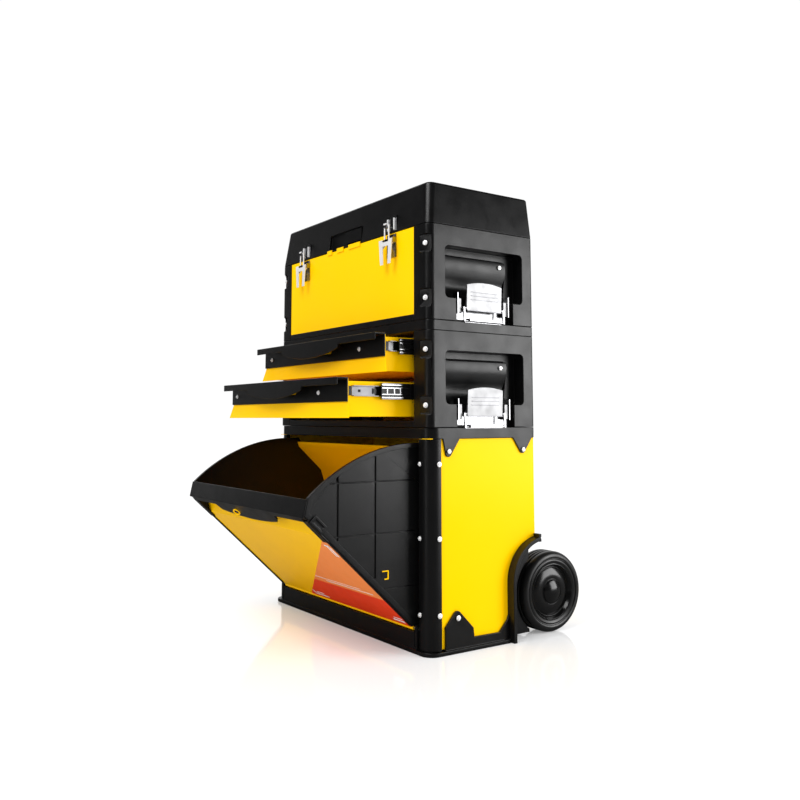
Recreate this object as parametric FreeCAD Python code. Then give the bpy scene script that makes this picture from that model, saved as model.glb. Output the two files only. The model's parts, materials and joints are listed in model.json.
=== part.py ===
import FreeCAD, Part
import math
import os

# Rolling tool box: a wheeled cabinet with a tilt-out bin, a two-drawer module on it and a lidded box on top.
# Millimetres. Origin on the floor under the middle of the body, +X to the right, -Y to the front, +Z up.

V = FreeCAD.Vector

# Driving dimensions
HALF_W, HALF_D = 245.0, 110.0        # the body's half width and half depth
CORNER_R = 20.0                      # rounded front corners of the cabinet
UPPER_R = 12.5                       # rounded front corners of the module, the top box and the lid
REAR_R = 7.0                         # rounded rear corners
CABINET_TOP = 319.0                  # top of the cabinet's panels
FRAME_TOPS = (336.0, 502.0)          # tops of the cabinet's and the module's moulded frames
MODULE_Z = 336.4                     # underside of the drawer module
MODULE_TOP = 486.0                   # top of the drawer module's ends
BOX_Z = 502.4                        # underside of the top box
BOX_TOP = 653.0                      # rim of the top box
LID_Z, LID_TOP = 653.5, 722.0        # the lid's lower edge and top
LID_DRAFT, REAR_DRAFT = 8.4, 1.5     # how far the lid's walls lean in, and its rear wall
SHEET = 1.2                          # sheet steel
WALL = 3.0                           # moulded plastic
OPENING_HALF = 206.5                 # half width of the front openings of the module and the top box
POST_SIZE = 24.0                     # solid corner posts of the moulded ends
FIT = 0.06                           # radial running clearance

HINGE_Y, HINGE_Z = -109.5, 37.0      # the bin's hinge rod
BIN_OPEN = 47.0                      # how far the bin stands open, in degrees
BIN_HALF = 210.5                     # outside of the bin's side plates
BIN_R = 276.0                        # radius of the bin's quadrant rim

WHEEL_R, WHEEL_Y = 65.0, 150.0
WHEEL_IN, WHEEL_OUT = 198.0, 240.0   # the wheel's inner and outer face
AXLE_R = 6.0
WELL_R = 70.0                        # wheel well
ARCH_Y, ARCH_Z, ARCH_R = 117.0, 90.0, 70.0
ARCH_FRONT = ARCH_Y - ARCH_R         # the arch's front leg
ARCH_BAND = 6.5                      # width of the arch's flange
ARCH_OUT = 257.0                     # outer face of the flange

DRAWER_Z = (351.0, 421.0)            # underside of the lower and the upper drawer front
DRAWER_OPEN = (116.0, 50.0)          # how far each drawer stands open
DRAWER_BACK = 90.0
SLIDE_UP = 40.5                      # the slides' centre above a drawer's underside
TRAY_HALF = 193.0                    # outside of a drawer's side walls

LATCH_X = 240.0                      # lever pivot of the side latches
LATCH_Z = (357.5, 524.0)             # lever pivots on the module and on the top box
BAIL_REACH = 7.0                     # from the lever's pivot out to the bail's
BAIL_LENGTH = 20.5
DRAW_X = 145.0                       # front latches, each side of the middle
DRAW_Y, DRAW_Z = -113.5, 640.0       # lever pivot of the front latches
LOOP_REACH, LOOP_LENGTH = 6.0, 24.5

TUBE_X, TUBE_Y = 110.0, 124.5        # the pull handle's tubes behind the body
LID_HINGE_Y, LID_HINGE_Z = 114.0, 651.0


def box(x, y, z):
    return Part.makeBox(x[1] - x[0], y[1] - y[0], z[1] - z[0], V(x[0], y[0], z[0]))


def rod(axis, centre, radius, span):
    """A cylinder along an axis: centre holds the other two coordinates, in X, Y, Z order."""
    start = on_axis(axis, centre[0], centre[1], span[0])
    way = {"x": V(1, 0, 0), "y": V(0, 1, 0), "z": V(0, 0, 1)}[axis]
    return Part.makeCylinder(radius, span[1] - span[0], start, way)


def tube(axis, centre, outer, inner, span):
    return rod(axis, centre, outer, span).cut(rod(axis, centre, inner, (span[0] - 1, span[1] + 1)))


def on_axis(axis, a, b, at):
    return {"x": V(at, a, b), "y": V(a, at, b), "z": V(a, b, at)}[axis]


def prism(axis, outline, span):
    """An outline extruded along an axis. A point of four numbers is an arc through the first two."""
    edges = []
    here = outline[0]
    for point in list(outline[1:]) + [outline[0]]:
        start, end = (on_axis(axis, at[-2], at[-1], span[0]) for at in (here, point))
        if len(point) == 4:
            edges.append(Part.Arc(start, on_axis(axis, point[0], point[1], span[0]), end).toShape())
        elif start.distanceToPoint(end) > 1e-6:
            edges.append(Part.makeLine(start, end))
        here = point
    return Part.Face(Part.Wire(edges)).extrude(on_axis(axis, 0, 0, span[1] - span[0]))


def rounded(axis, a, b, radius, span):
    """A rounded rectangle extruded along an axis, with one radius or one for each of its low-b and high-b ends."""
    low, high = radius if isinstance(radius, tuple) else (radius, radius)
    k = 1 - math.sqrt(0.5)
    outline = [
        (a[0] + low, b[0]), (a[1] - low, b[0]), (a[1] - k * low, b[0] + k * low, a[1], b[0] + low),
        (a[1], b[1] - high), (a[1] - k * high, b[1] - k * high, a[1] - high, b[1]),
        (a[0] + high, b[1]), (a[0] + k * high, b[1] - k * high, a[0], b[1] - high),
        (a[0], b[0] + low), (a[0] + k * low, b[0] + k * low, a[0] + low, b[0]),
    ]
    return prism(axis, outline, span)


def fuse(first, *others):
    return first.fuse(list(others)).removeSplitter()


def mirrored(shape):
    return shape.mirror(V(0, 0, 0), V(1, 0, 0))


def both(shape):
    return Part.makeCompound([shape, mirrored(shape)])


def pulled(shape, out):
    """A copy of a shape, pulled out towards the front."""
    copy = shape.copy()
    copy.translate(V(0, -out, 0))
    return copy


def save(name, shape):
    shape.exportStep("parts/" + name + ".step")


def save_pair(name, right):
    """Writes the right-hand piece and its mirror image."""
    save(name + "_right", right)
    save(name + "_left", mirrored(right))


# ---- Cabinet

def arch_outline(radius, top_y):
    """The wheel arch's curve, from the floor up its front leg and over to top_y, as outline points."""
    end_z = ARCH_Z + math.sqrt(radius ** 2 - (top_y - ARCH_Y) ** 2)
    bend = math.radians(135)
    mid = (ARCH_Y + radius * math.cos(bend), ARCH_Z + radius * math.sin(bend))
    return [(ARCH_Y - radius, 0.0), (ARCH_Y - radius, ARCH_Z), mid + (top_y, end_z)]


def base_tray():
    plate = rounded("z", (-250, 250), (-115, 150), CORNER_R, (0, 6))
    plate = plate.cut(box((-260, 260), (106, 160), (-1, 7)))
    for side in (-1, 1):
        plate = plate.cut(box(sorted((side * 183.5, side * 260)), (ARCH_FRONT, 160), (-1, 7)))
    front = box((-212, 212), (-114, -111), (6, 32))
    sill = prism("x", [(-80, 6), (-80, 39), (-63, 58), (-57, 61, -51, 58), (-26, 33), (-24.5, 19),
                       (27, 18.5), (43, 35), (ARCH_FRONT - 0.1, 44), (ARCH_FRONT - 0.1, 6)], (242, 246))
    lug = box((213.5, 218), (-114, -103), (6, 42)).cut(rod("x", (HINGE_Y, HINGE_Z), 3 + FIT, (210, 220)))
    return fuse(plate, front, sill, mirrored(sill), lug, mirrored(lug))


def front_posts():
    outer = rounded("z", (150, HALF_W), (-HALF_D, 0), CORNER_R, (6, CABINET_TOP))
    inner = rounded("z", (150, HALF_W - WALL), (-HALF_D + WALL, 0), CORNER_R - WALL, (5, CABINET_TOP + 1))
    legs = outer.cut(inner).common(box((218.5, 250), (-120, -86), (0, 400)))
    return both(legs)


def side_panel():
    front = -HALF_D + CORNER_R
    outline = [(front, 8), (ARCH_FRONT, 8)] + arch_outline(ARCH_R, 108)[1:]
    outline += [(108, CABINET_TOP), (front, CABINET_TOP)]
    return prism("x", outline, (HALF_W - WALL - SHEET, HALF_W - WALL))


def rear_panel():
    edge = HALF_W - WALL - SHEET
    right = [(183.8, 8), (183.8, 128), (224, 128), (224, 162), (edge, 162), (edge, CABINET_TOP)]
    left = [(-x, z) for x, z in reversed(right)]
    return prism("y", right + left, (108 - SHEET, 108))


def frame_ring(radius, low, high):
    ring = rounded("z", (-HALF_W, HALF_W), (-HALF_D, HALF_D), (radius, REAR_R), (low, high))
    return ring.cut(box((-225, 225), (-92, 92), (low - 1, high + 1)))


TABS = (((-83, -49), (-72, 291.5)), ((60, 103), (81.5, 294)))        # each tab's root and tip


def hanging_tab(root, tip):
    """A pointed tab that hangs from the frame over the right side panel, with a rounded tip."""
    y, low = tip
    outline = [(root[0], CABINET_TOP + 1), (y - 5, low + 2.5), (y, low, y + 5, low + 2.5),
               (root[1], CABINET_TOP + 1)]
    return prism("x", outline, (HALF_W - WALL, HALF_W))


def cabinet_top_frame():
    tabs = [hanging_tab(*tab) for tab in TABS]
    return fuse(frame_ring(CORNER_R, CABINET_TOP, FRAME_TOPS[0]), *(tabs + [mirrored(tab) for tab in tabs]))


def wheel_arch():
    reach = 108.0
    outer = arch_outline(ARCH_R, reach)
    inner = arch_outline(ARCH_R - ARCH_BAND, reach)
    band_inner = [inner[2][-2:], inner[2][:2] + inner[1], inner[0]]
    band = prism("x", outer + band_inner, (HALF_W - WALL, ARCH_OUT))
    skirt = prism("x", outer + band_inner, (224, HALF_W - WALL - SHEET))
    joint = prism("x", arch_outline(ARCH_R - 2, reach) + band_inner, (230, HALF_W))
    cheek = prism("x", outer + [(reach, 4), (60, 4), (60, 0)], (224, 227))
    wheel = (WHEEL_Y, WHEEL_R)
    cheek = cheek.cut(rod("x", wheel, WELL_R, (220, 230)))
    well = tube("x", wheel, WELL_R + WALL, WELL_R, (187, 227))
    well = well.common(box((180, 230), (0, reach), (4, 200)))
    inboard = rod("x", wheel, WELL_R + WALL, (184, 187)).common(box((180, 190), (0, reach), (4, 200)))
    ear = prism("x", [(100, 40), (150, 45), (170, 65, 150, 85), (100, 110)], (184, 194))
    foot = box((184, 187), (60, reach), (0, 12))
    body = fuse(band, skirt, joint, cheek, well, inboard, ear, foot)
    return body.cut(rod("x", wheel, AXLE_R + FIT, (180, 200)))


def screw(centre, way, radius, height):
    """A low domed screw or rivet head."""
    way = V(*way).normalize()
    base = V(*centre)
    head = Part.makeCylinder(radius, height * 0.5, base, way)
    return head.fuse(Part.makeCone(radius, radius * 0.55, height * 0.5, base + way * height * 0.5, way))


def strike(z, frame_top):
    """A bright strip on a frame's right edge, with a hooked lip that a wire bail pulls up on."""
    plate = box((HALF_W, HALF_W + 1.3), (-39, 37), (frame_top - 1, z + 3.4))
    foot = box((236, HALF_W + 1), (-39, 37), (frame_top, frame_top + 1.2))
    lip = prism("y", [(HALF_W, z + 2.2), (252, z + 2.2), (252, z - 0.6), (253.3, z - 0.6), (253.3, z + 3.5),
                      (HALF_W, z + 3.5)], (-34, 32))
    return fuse(plate, foot, lip)


def cabinet_hardware():
    bright = []
    for side in (-1, 1):
        for z in (58, 170, 281):
            bright.append(screw((side * HALF_W, -91, z), (side, 0, 0), 4, 1.6))
            bright.append(screw((side * 223, -HALF_D, z), (0, -1, 0), 3.5, 1.6))
        for _, (y, _) in TABS:
            bright.append(screw((side * HALF_W, y, 300), (side, 0, 0), 3.5, 2))
        bright.append(screw((side * 246, -57, 51), (side, 0, 0), 4, 2))
    plates = strike(LATCH_Z[0] - BAIL_LENGTH, FRAME_TOPS[0])
    return Part.makeCompound(bright + [plates, mirrored(plates)])


def handle_guides():
    pieces = []
    for side in (-1, 1):
        guide = tube("z", (side * TUBE_X, TUBE_Y), 12.5, 11 + FIT, (50, 332))
        for z in (70, 300):
            strap = box((side * TUBE_X - 24, side * TUBE_X + 24), (108, 113), (z, z + 16))
            strap = strap.cut(rod("z", (side * TUBE_X, TUBE_Y), 12.5, (z - 1, z + 17)))
            guide = guide.fuse(strap)
        pieces.append(guide)
    return Part.makeCompound(pieces)


def handle_tubes(outer, inner, low, high):
    pieces = [tube("z", (side * TUBE_X, TUBE_Y), outer, inner, (low, high)) for side in (-1, 1)]
    return Part.makeCompound(pieces)


def handle_grip():
    bar = rounded("x", (TUBE_Y - 11, TUBE_Y + 11), (616, 640), 8, (-TUBE_X - 16, TUBE_X + 16))
    bore = [rod("z", (side * TUBE_X, TUBE_Y), 9, (610, 626)) for side in (-1, 1)]
    window = box((-70, 70), (100, 150), (600, 622))
    return bar.cut(bore[0]).cut(bore[1]).cut(window)


# ---- Wheels

def tyre():
    inner = 46.0
    profile = [(inner, WHEEL_IN + 4), (56, WHEEL_IN), (62.4, WHEEL_IN + 2.6, WHEEL_R, WHEEL_IN + 9)]
    ribs = []
    for k in range(3):
        x = WHEEL_IN + 12 + 7 * k
        ribs += [(WHEEL_R, x), (WHEEL_R - 2, x + 1), (WHEEL_R - 2, x + 2.5), (WHEEL_R, x + 3.5)]
    profile += ribs + [(WHEEL_R, WHEEL_OUT - 9), (62.4, WHEEL_OUT - 2.6, 56, WHEEL_OUT), (52, WHEEL_OUT - 2),
                       (50, WHEEL_OUT - 1), (inner, WHEEL_OUT - 3)]
    return turned(profile)


def turned(profile):
    """A profile of (radius, x) points turned about the axle."""
    edges = []
    here = profile[0]
    for point in profile[1:] + [profile[0]]:
        start, end = V(here[-1], WHEEL_Y, WHEEL_R + here[-2]), V(point[-1], WHEEL_Y, WHEEL_R + point[-2])
        if len(point) == 4:
            edges.append(Part.Arc(start, V(point[1], WHEEL_Y, WHEEL_R + point[0]), end).toShape())
        else:
            edges.append(Part.makeLine(start, end))
        here = point
    face = Part.Face(Part.Wire(edges))
    return face.revolve(V(0, WHEEL_Y, WHEEL_R), V(1, 0, 0), 360)


def hub():
    bore = AXLE_R + FIT
    profile = [(bore, WHEEL_IN - 3), (14, WHEEL_IN - 3), (16, WHEEL_IN + 6), (44, WHEEL_IN + 10),
               (46, WHEEL_IN + 4), (46, WHEEL_OUT - 3), (44, WHEEL_OUT - 2), (40, WHEEL_OUT - 9),
               (30, WHEEL_OUT - 4.5, 19, WHEEL_OUT - 4), (bore, WHEEL_OUT - 4)]
    dome_r, crown = 36.0, WHEEL_OUT + 3.5
    dome = Part.makeSphere(dome_r, V(crown - dome_r, WHEEL_Y, WHEEL_R))
    cap = dome.common(rod("x", (WHEEL_Y, WHEEL_R), 19, (WHEEL_OUT - 8, crown + 1)))
    seat = rod("x", (WHEEL_Y, WHEEL_R), bore, (WHEEL_IN - 4, WHEEL_OUT - 3))
    return fuse(turned(profile), cap).cut(seat)


# ---- Bin, modelled closed and then turned out to where it stands open

def opened(shape):
    copy = shape.copy()
    copy.rotate(V(0, HINGE_Y, HINGE_Z), V(1, 0, 0), BIN_OPEN)
    return copy


def rim_point(radius, degrees):
    """A point of the bin's quadrant, measured from straight up over the hinge towards the back."""
    a = math.radians(degrees)
    return (HINGE_Y + radius * math.sin(a), HINGE_Z + radius * math.cos(a))


BIN_NOSE = (-112.0, 299.0)           # top front corner of the quadrant when closed
BIN_TAIL = 51.4                      # degrees at which the rim ends at the back


def bin_side():
    start, middle, end = rim_point(BIN_R, 4), rim_point(BIN_R, 28), rim_point(BIN_R, BIN_TAIL)
    sheet = prism("x", [(-112, 45), BIN_NOSE, start, middle + end, (98, 130), (67, 70), (67, 42), (-100, 38),
                        (-104, 33)], (BIN_HALF - WALL, BIN_HALF))
    inner = [rim_point(BIN_R - 7, a) for a in (BIN_TAIL, 28, 5)]
    rim = prism("x", [start, middle + end, inner[0], inner[1] + inner[2]], (BIN_HALF, BIN_HALF + 3))
    edge = [(-112, 45), BIN_NOSE, start, inner[2], (-104, 296), (-104, 45)]
    edge = prism("x", edge, (BIN_HALF, BIN_HALF + 3))
    return fuse(sheet, rim, edge).cut(rod("x", (HINGE_Y, HINGE_Z), 3 + FIT, (200, 220)))


def bin_front_panel():
    inside = BIN_HALF - WALL
    bend = [(-112, 40), (-112, 254), (-102.2, 266), (-102.2, 298), (-102.2 + SHEET, 298),
            (-102.2 + SHEET, 265.6), (-112 + SHEET, 253.6), (-112 + SHEET, 40)]
    sheet = prism("x", bend, (-inside, inside))
    knuckle = rod("x", (HINGE_Y, HINGE_Z), 4.2, (-inside, inside))
    hole = rod("x", (HINGE_Y, HINGE_Z), 3 + FIT, (-inside - 1, inside + 1))
    return fuse(sheet, knuckle).cut(hole)


def bin_back_panel():
    inside = BIN_HALF - WALL
    line = [(-105, 40), (64, 40), (64, 70), (95.6, 130), (95.6, 198), (100, 206)]
    inner = [(99, 206.6), (95.6 - SHEET, 198.4), (95.6 - SHEET, 130.3), (64 - SHEET, 70.3),
             (64 - SHEET, 40 + SHEET), (-105, 40 + SHEET)]
    return prism("x", line + inner, (-inside, inside))


def bin_pull():
    """The black strip along the top of the bin: a sloping lip, a skirt and a hanging grip flap."""
    lip = [(-115.5, 297.2), (-92, 311.5), (-93.2, 313.6), (-115.5, 300)]
    lip = prism("x", lip, (-BIN_HALF - 3, BIN_HALF + 3))
    skirt = box((-206, 206), (-115.5, -113), (289, 299))
    flap = prism("y", [(-112, 290), (-105, 276), (0, 266, 96, 273), (108, 281), (110, 290)], (-115.5, -113))
    back = box((-206, 206), (-104.2, -102.2), (272, 305.5))
    return fuse(lip, skirt, flap, back)


# ---- Moulded ends shared by the drawer module and the top box

GRIP_Y = (-76.5, 85.0)
NOTCH_Y = (-54.0, 64.0)
GRIP_RISE = (36.0, 118.5)            # the hand recess above the foot of its end
CLIP_RISE = (34.0, 120.0)            # the corner clips above the foot of their end
CLIP_X, CLIP_Y = 232.0, -105.0       # middle of a clip's floor
CLIP_TURN = 27.0                     # how far a clip faces away from straight ahead


def end_moulding(z0, z1):
    """The right-hand end: side wall, returns, solid corner posts, hand recess and latch notch."""
    shell = rounded("z", (150, HALF_W), (-HALF_D, HALF_D), (UPPER_R, REAR_R), (z0, z1))
    shell = shell.common(box((OPENING_HALF, 260), (-120, 120), (z0, z1)))
    shell = shell.cut(box((200, HALF_W - WALL), (-HALF_D + POST_SIZE, HALF_D - POST_SIZE), (z0 - 1, z1 + 1)))
    inner = HALF_D - WALL
    shell = shell.cut(box((200, HALF_W - POST_SIZE), (-inner, inner), (z0 - 1, z1 + 1)))
    grip = (z0 + GRIP_RISE[0], z0 + GRIP_RISE[1])
    foot = box((218, HALF_W), (-88, 88), (z0, z0 + 2.6))
    pocket = box((219.5, 243), (GRIP_Y[0] - 2.5, GRIP_Y[1] + 2.5), (grip[0] - 2.5, grip[1] + 2.5))
    notch = box((231.5, 243), (NOTCH_Y[0] - 2.5, NOTCH_Y[1] + 2.5), (z0, grip[0]))
    body = fuse(shell, foot, pocket, notch)
    body = body.cut(rounded("x", GRIP_Y, grip, 7, (222, 250)))
    body = body.cut(box((234, 250), NOTCH_Y, (z0 - 1, grip[0] + 0.5)))
    belly = prism("y", [(221, grip[1] - 11), (231, grip[1] - 14), (232.5, grip[1] - 22), (232, grip[1] - 34),
                        (226, grip[1] - 48), (223, grip[1] - 56), (223, grip[0] + 16), (229, grip[0] + 6),
                        (231, grip[0]), (221, grip[0])], (GRIP_Y[0], GRIP_Y[1] - 25))
    body = fuse(body, belly)
    for rise in CLIP_RISE:
        body = body.cut(clip_notch(z0 + rise))
    return body


def clip_notch(z):
    """A notch across the rounded front corner, with a flat floor."""
    cut = rounded("y", (-11.5, 11.5), (-14, 14), 5, (-20, 0))
    cut.rotate(V(0, 0, 0), V(0, 0, 1), CLIP_TURN)
    cut.translate(V(CLIP_X, CLIP_Y, z))
    return cut


def end_screws(z0):
    """The screws of the corner clips and of the hand recesses, on both ends."""
    turn = math.radians(CLIP_TURN)
    outward = (math.sin(turn), -math.cos(turn), 0)
    heads = [screw((CLIP_X, CLIP_Y, z0 + rise), outward, 4, 2.4) for rise in CLIP_RISE]
    heads.append(screw((232.5, 45, z0 + GRIP_RISE[1] - 23), (1, 0, 0), 3.5, 2))
    return heads + [mirrored(head) for head in heads]


def latch_plate(z):
    """The right side latch's seat: a plate on the notch floor with two ears and the lever's pin."""
    plate = box((234, 235.3), (-52.5, 54.5), (z - 18, z + 15.5))
    ears = [box((235.3, 247), y, (z - 9.5, z + 23.5)) for y in ((-54, -52.4), (51.4, 53))]
    feet = [box((234, 236), y, (z - 9.5, z + 15.5)) for y in ((-54, -52), (51, 53))]
    pin = rod("y", (LATCH_X, z), 1.6, (-54, 53))
    return fuse(plate, pin, *(ears + feet))


def latch_lever(z):
    """The right side latch's pressed lever, leaning out a little at its arched top."""
    face = [(-37, z - 3.5), (-37, z + 37), (-1, z + 41.5, 35, z + 37), (35, z - 3.5)]
    face = prism("x", face, (247.2, 248.6))
    inner = LATCH_X - 2.6
    cheeks = [prism("y", [(inner, z - 2.6), (248, z - 3.5), (248, z + 22), (243, z + 4), (inner, z + 2.6)], y)
              for y in ((-37, -35.5), (33.5, 35))]
    lever = fuse(face, *cheeks)
    lever.rotate(V(248, 0, z), V(0, 1, 0), 2.5)
    lever = lever.cut(rod("y", (LATCH_X, z), 1.6 + FIT, (-60, 60)))
    return lever.cut(rod("y", (LATCH_X + BAIL_REACH, z), 1.5 + FIT, (-60, 60)))


def latch_bail(z):
    """The right side latch's wire bail: two pivots in the lever, two sides and a bar under the strike's lip."""
    x = LATCH_X + BAIL_REACH
    low = z - BAIL_LENGTH
    bar_x = x + 2.0
    pivots = [rod("y", (x, z), 1.5, y) for y in ((-41.7, -33), (31, 39.7))]
    sides = []
    half = 1.3
    outline = [(x - half, z + half), (x + half, z + half), (bar_x + half, low - half),
               (bar_x - half, low - half)]
    for y in ((-43.2, -40.2), (38.2, 41.2)):
        sides.append(prism("y", outline, y))
    bar = rod("y", (bar_x, low), 1.5, (-41.7, 39.7))
    return fuse(bar, *(pivots + sides))


# ---- Drawer module and drawers

def module_floor():
    plate = box((-217.5, 217.5), (-85, 85), (MODULE_Z, MODULE_Z + 1.5))
    return fuse(plate, *floor_edges(MODULE_Z, 347))


def floor_edges(low, rail_top):
    """A floor's front and rear strips between the moulded ends, and the rail across the front."""
    edge = OPENING_HALF - 0.2
    strips = [box((-edge, edge), y, (low, low + 1.5)) for y in ((-107, -85), (85, 106.5))]
    return strips + [box((-edge, edge), (-110, -106), (low, rail_top))]


def closing_panel(y, low, high):
    """A flat sheet panel between the two moulded ends."""
    return box((-OPENING_HALF + 0.1, OPENING_HALF - 0.1), y, (low, high))


def channel(web, lips, half_height, thickness, centre, span):
    """A slide member: a web in the Z-Y plane with two lips turned towards the drawer or away from it."""
    back = box(web, span, (centre - half_height, centre + half_height))
    top = box(lips, span, (centre + half_height - thickness, centre + half_height))
    foot = box(lips, span, (centre - half_height, centre - half_height + thickness))
    return fuse(back, top, foot)


def module_slide_rails():
    pieces = []
    for z in DRAWER_Z:
        centre = z + SLIDE_UP
        pieces.append(channel((203.8, 205), (197, 204), 16.5, 1.2, centre, (-106, 96)))
    brackets = [box((205, 219.5), y, (MODULE_Z + 3, MODULE_TOP - 2)) for y in ((-70, -67), (70, 73))]
    straps = [box((205, 206.2), y, (MODULE_Z + 3, MODULE_TOP - 2)) for y in ((-84, -67), (56, 73))]
    frame = fuse(brackets[0], straps[0]), fuse(brackets[1], straps[1])
    right = Part.makeCompound([fuse(pieces[0], pieces[1], frame[0], frame[1])])
    return both(right)


def module_hardware():
    plate = latch_plate(LATCH_Z[0])
    hooks = strike(LATCH_Z[1] - BAIL_LENGTH, FRAME_TOPS[1])
    return Part.makeCompound([plate, mirrored(plate), hooks, mirrored(hooks)] + end_screws(MODULE_Z))


def drawer_tray(z, out):
    front = -112 + SHEET
    walls = [
        box((-TRAY_HALF, TRAY_HALF), (front, DRAWER_BACK), (z + 2, z + 2 + SHEET)),
        box((-TRAY_HALF, -TRAY_HALF + SHEET), (front, DRAWER_BACK), (z + 2, z + 55)),
        box((TRAY_HALF - SHEET, TRAY_HALF), (front, DRAWER_BACK), (z + 2, z + 55)),
        box((-TRAY_HALF, TRAY_HALF), (DRAWER_BACK - SHEET, DRAWER_BACK), (z + 2, z + 55)),
        box((-204, 204), (-112, front), (z + 24, z + 58)),
        box((-TRAY_HALF, TRAY_HALF), (-112, front), (z + 2, z + 24)),
    ]
    corners = [V(-204, -112, z + 24), V(204, -112, z + 24), V(213, -116, z), V(-213, -116, z)]
    flare = Part.Face(Part.makePolygon(corners + corners[:1])).extrude(V(0, SHEET, 0))
    return pulled(fuse(flare, *walls), out)


def drawer_handle(z, out):
    plate = box((-205, 205), (-114.5, -112), (z + 24, z + 60))
    plate = plate.cut(rounded("y", (-50, 46), (z + 37, z + 53), 5, (-120, -110)))
    lip = box((-205, 205), (-132, -112), (z + 57.5, z + 60))
    drop = box((-205, 205), (-132, -130), (z + 49, z + 60))
    flap = prism("y", [(-104, z + 50), (-99, z + 42), (-2, z + 31, 94, z + 43), (96, z + 50)], (-132, -130))
    return pulled(fuse(plate, lip, drop, flap), out)


def drawer_slides(z, out):
    """The members screwed to the drawer's sides."""
    right = channel((TRAY_HALF, TRAY_HALF + SHEET), (TRAY_HALF + SHEET, 199.5), 8, 1, z + SLIDE_UP, (-99, 88))
    return pulled(both(right), out)


def middle_slides(z, out):
    """The middle members, half way out between the rails and the drawer."""
    right = channel((201.4, 202.6), (196.2, 201.4), 12.2, 1, z + SLIDE_UP, (-108, 90))
    return pulled(both(right), out / 2)


# ---- Top box and lid

def box_floor():
    plate = box((-217.5, 217.5), (-85, 85), (BOX_Z, BOX_Z + 1.5))
    return fuse(plate, *floor_edges(BOX_Z, 513))


def box_hardware():
    plate = latch_plate(LATCH_Z[1])
    seats = []
    for x in (-DRAW_X, DRAW_X):
        seat = box((x - 13, x + 13), (-110.3, -109), (612, 650.5))
        ears = [box(ear, (-116.5, -110), (DRAW_Z - 4.5, DRAW_Z + 4.5))
                for ear in ((x - 13, x - 11.6), (x + 11.6, x + 13))]
        pin = rod("x", (DRAW_Y, DRAW_Z), 1.4, (x - 13, x + 13))
        seats.append(fuse(seat, pin, *ears))
    return Part.makeCompound([plate, mirrored(plate)] + seats + lid_hinges() + end_screws(BOX_Z))


def draw_lever(x):
    """A front latch lever: two legs that close in towards an open foot, on a cross pin."""
    z = DRAW_Z
    out = DRAW_Y - LOOP_REACH
    legs = []
    for side in (-1, 1):
        outline = [(x + side * 19, z + 1), (x + side * 8.5, z + 1), (x + side * 6.5, z - 40),
                   (x + side * 15, z - 40)]
        leg = prism("y", outline, (out - 3.4, out - 2.1))
        cheek_x = sorted((x + side * 8.6, x + side * 9.8))
        inner = DRAW_Y + 2
        cheek = [(inner, z - 2.2), (inner, z + 2.2), (out - 2.5, z + 1), (out - 2.5, z - 16)]
        cheek = prism("x", cheek, cheek_x)
        legs += [leg, cheek]
    bridge = box((x - 9, x + 9), (out - 3.4, out - 2.1), (z - 10, z - 3))
    lever = fuse(bridge, *legs)
    lever = lever.cut(rod("x", (DRAW_Y, z), 1.4 + FIT, (x - 30, x + 30)))
    return lever.cut(rod("x", (out, z), 1.3 + FIT, (x - 30, x + 30)))


def draw_loop(x):
    """A front latch's wire loop, from its pivot in the lever up to the bar in the catch."""
    y, z = DRAW_Y - LOOP_REACH, DRAW_Z
    high = z + LOOP_LENGTH
    wires = [rod("z", (x + side * 6, y), 1.3, (z, high)) for side in (-1, 1)]
    pivots = [rod("x", (y, z), 1.3, sorted((x + side * 11.2, x + side * 4.7))) for side in (-1, 1)]
    bar = rod("x", (y, high), 1.3, (x - 7.3, x + 7.3))
    return fuse(bar, *(wires + pivots))


def lid_hinges():
    """The box's half of the two lid hinges, with the rods that the lid's knuckles turn on."""
    pieces = []
    for side in (-1, 1):
        x0 = side * 175
        leaf = box((x0 - 30, x0 + 30), (109, 110.2), (622, 649))
        spans = ((x0 - 30, x0 - 11), (x0 + 11, x0 + 30))
        knuckles = [rod("x", (LID_HINGE_Y, LID_HINGE_Z), 4, span) for span in spans]
        webs = [box(span, (109, 112), (640, 651)) for span in spans]
        pin = rod("x", (LID_HINGE_Y, LID_HINGE_Z), 2, (x0 - 30, x0 + 30))
        pieces.append(fuse(leaf, pin, *(knuckles + webs)))
    return pieces


def lid_block(inset, low, high):
    """A tapered block: the lid's outside, or its inside when inset."""
    sections = []
    for z, lean, rear_lean in ((low, 0.0, 0.0), (high, LID_DRAFT, REAR_DRAFT)):
        x, front, rear = HALF_W - inset - lean, -HALF_D + inset + lean, HALF_D - inset - rear_lean
        radii = (UPPER_R - inset * 0.8, REAR_R - inset * 0.8)
        face = rounded("z", (-x, x), (front, rear), radii, (z, z + 1)).Faces
        bottom = [f for f in face if abs(f.CenterOfMass.z - z) < 1e-6 and abs(f.normalAt(0, 0).z) > 0.9][0]
        sections.append(bottom.OuterWire)
    return Part.makeLoft(sections, True, True)


def lid_shell():
    outer = lid_block(0.0, LID_Z, LID_TOP)
    top_edges = [e for e in outer.Edges if all(abs(v.Z - LID_TOP) < 1e-6 for v in e.Vertexes)]
    outer = outer.makeFillet(5.0, top_edges)
    shell = outer.cut(lid_block(WALL, LID_Z - 1, LID_TOP - WALL))
    backing = box((-64, 56), (-105, -98), (LID_Z, 690)).common(outer)
    tray = box((-88, 88), (-27, 27), (700, LID_TOP - 1))
    shell = fuse(shell, backing, tray)
    shell = shell.cut(rounded("y", (-60, 52), (655.5, 684), 4, (-115, -102.5)))
    return shell.cut(rounded("z", (-85, 85), (-24, 24), 6, (702.5, LID_TOP + 1)))


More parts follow.
